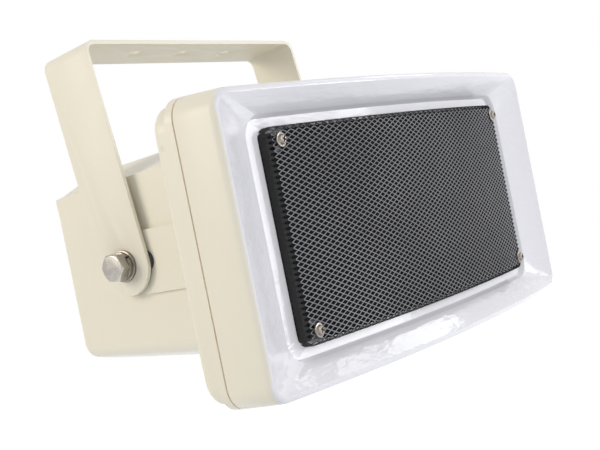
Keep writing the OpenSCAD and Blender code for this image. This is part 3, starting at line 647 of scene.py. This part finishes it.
def grille_mesh(finish):
    """Expanded metal: a sheet of diamonds, ridged along the strands and folded into the pan."""
    across = round((MESH_W + MESH_FOOT) * 2 / CELL_X)
    up = round((MESH_H + MESH_FOOT) * 2 / CELL_Z)
    piece = sheet_of_diamonds(across, up, finish)
    mesh = piece.data
    for vertex in mesh.vertices:
        u = vertex.co.x / (CELL_X / 2) + across
        v = vertex.co.z / (CELL_Z / 2) + up
        on_ridge = abs(u - round(u)) < 0.02 and abs(v - round(v)) < 0.02
        if not on_ridge:
            vertex.co.y += STRAND_FALL
    solid = piece.modifiers.new("sheet", "SOLIDIFY")
    solid.thickness = SHEET
    solid.offset = -1
    apply_modifiers(piece)
    pick(piece, lambda mid: corner_reach(mid.x, mid.z) > MESH_R - MESH_ROLL + MESH_WALL)
    bpy.ops.mesh.delete(type="FACE")
    bpy.ops.object.mode_set(mode="OBJECT")
    for vertex in mesh.vertices:
        vertex.co = roll_over_edge(vertex.co)
    # Painted sheen and shade on the one dark paint: only what faces forwards takes the lighter grey as
    # painted sheen, while the strands' flanks, the rolled edge and the wall take the near-black copy as
    # painted shade
    for face in mesh.polygons:
        rolled = corner_reach(face.center.x, face.center.z) > MESH_R - MESH_ROLL * 0.95
        if rolled or face.normal.y > -0.6:
            face.material_index = 1
    mesh.transform(HANG)
    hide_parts("grille")
    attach(piece, "speaker_head")


# Studio


def background_rays(tree):
    """1 for what the camera, a reflection or a clear piece sees of the background, 0 for its light."""
    path = tree.nodes.new("ShaderNodeLightPath")
    seen = path.outputs["Is Camera Ray"]
    for ray in ("Is Glossy Ray", "Is Transmission Ray"):
        both = tree.nodes.new("ShaderNodeMath")
        both.operation = "MAXIMUM"
        tree.links.new(seen, both.inputs[0])
        tree.links.new(path.outputs[ray], both.inputs[1])
        seen = both.outputs[0]
    return seen


def softbox(name, at, to, size, power, color):
    data = bpy.data.lights.new(name, "AREA")
    data.shape = "RECTANGLE"
    data.size, data.size_y = size
    data.energy = power
    data.color = color
    lamp = bpy.data.objects.new(name, data)
    bpy.context.scene.collection.objects.link(lamp)
    lamp.location = at
    lamp.rotation_euler = (Vector(to) - Vector(at)).to_track_quat("-Z", "Y").to_euler()


def white_world():
    """Soft sky light, before a background that is seen as white."""
    world = bpy.data.worlds.new("studio")
    bpy.context.scene.world = world
    world.use_nodes = True
    tree = world.node_tree
    sky = tree.nodes["Background"]
    sky.inputs["Color"].default_value = (0.97, 0.98, 1.0, 1)
    sky.inputs["Strength"].default_value = 0.50
    seen = tree.nodes.new("ShaderNodeBackground")
    seen.inputs["Color"].default_value = (1, 1, 1, 1)
    seen.inputs["Strength"].default_value = 1.0
    mix = tree.nodes.new("ShaderNodeMixShader")
    tree.links.new(background_rays(tree), mix.inputs["Fac"])
    tree.links.new(sky.outputs[0], mix.inputs[1])
    tree.links.new(seen.outputs[0], mix.inputs[2])
    tree.links.new(mix.outputs[0], tree.nodes["World Output"].inputs["Surface"])


def studio_lamps():
    """The two windows show as the long reflection in the lower flare; the rest is soft fill."""
    middle = (0, -0.05, -0.11)
    lower_flare = (0, -0.13, -0.17)
    cool = (0.96, 0.98, 1.0)
    softbox("left_key", (-1.25, 0.62, 0.50), middle, (0.7, 0.7), 10.3, (1.0, 0.92, 0.78))
    softbox("front_fill", (-0.2, -1.9, 0.3), middle, (1.2, 1.0), 10.0, (1.0, 0.985, 1.0))
    softbox("right_window", (1.32, -0.42, 0.70), lower_flare, (0.34, 0.26), 0.95, cool)
    softbox("right_window_end", (1.15, -0.55, 0.86), lower_flare, (0.20, 0.12), 0.22, cool)
    softbox("right_fill", (1.3, -1.5, -0.05), middle, (0.8, 0.8), 12.5, (0.98, 0.98, 1.0))
    softbox("top", (0.2, -0.5, 1.5), middle, (1.2, 1.2), 1.5, (0.97, 0.98, 1.0))


def pale_floor():
    """A floor that keeps the speaker's shadow and glows just enough to be seen as white."""
    clear_selection()
    bpy.ops.mesh.primitive_plane_add(size=8, location=(0, 0, -0.42))
    floor = bpy.context.object
    floor.name = "floor"
    material = bpy.data.materials.new("pale_floor")
    material.use_nodes = True
    tree = material.node_tree
    shader = tree.nodes["Principled BSDF"]
    shader.inputs["Base Color"].default_value = (0.80, 0.83, 0.87, 1)
    shader.inputs["Roughness"].default_value = 0.9
    shader.inputs["Specular IOR Level"].default_value = 0.0
    glow = tree.nodes.new("ShaderNodeEmission")
    both = tree.nodes.new("ShaderNodeAddShader")
    strength = tree.nodes.new("ShaderNodeMath")
    strength.operation = "MULTIPLY"
    strength.inputs[1].default_value = 0.75
    tree.links.new(background_rays(tree), strength.inputs[0])
    tree.links.new(strength.outputs[0], glow.inputs["Strength"])
    tree.links.new(shader.outputs[0], both.inputs[0])
    tree.links.new(glow.outputs[0], both.inputs[1])
    tree.links.new(both.outputs[0], tree.nodes["Material Output"].inputs["Surface"])
    floor.data.materials.append(material)


photograph_camera()
finish = finishes()
for node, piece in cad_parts.items():
    piece.data.materials.clear()
    piece.data.materials.append(finish[NODE_FINISH[node]])
speaker_front(finish)
speaker_cabinet(finish)
folded_bracket(finish)
grille_mesh(finish)
lock_discs(finish)
moulded_mark(finish)
small_hardware(finish)
white_world()
studio_lamps()
pale_floor()
bpy.context.scene.view_settings.view_transform = "Standard"
clear_selection()
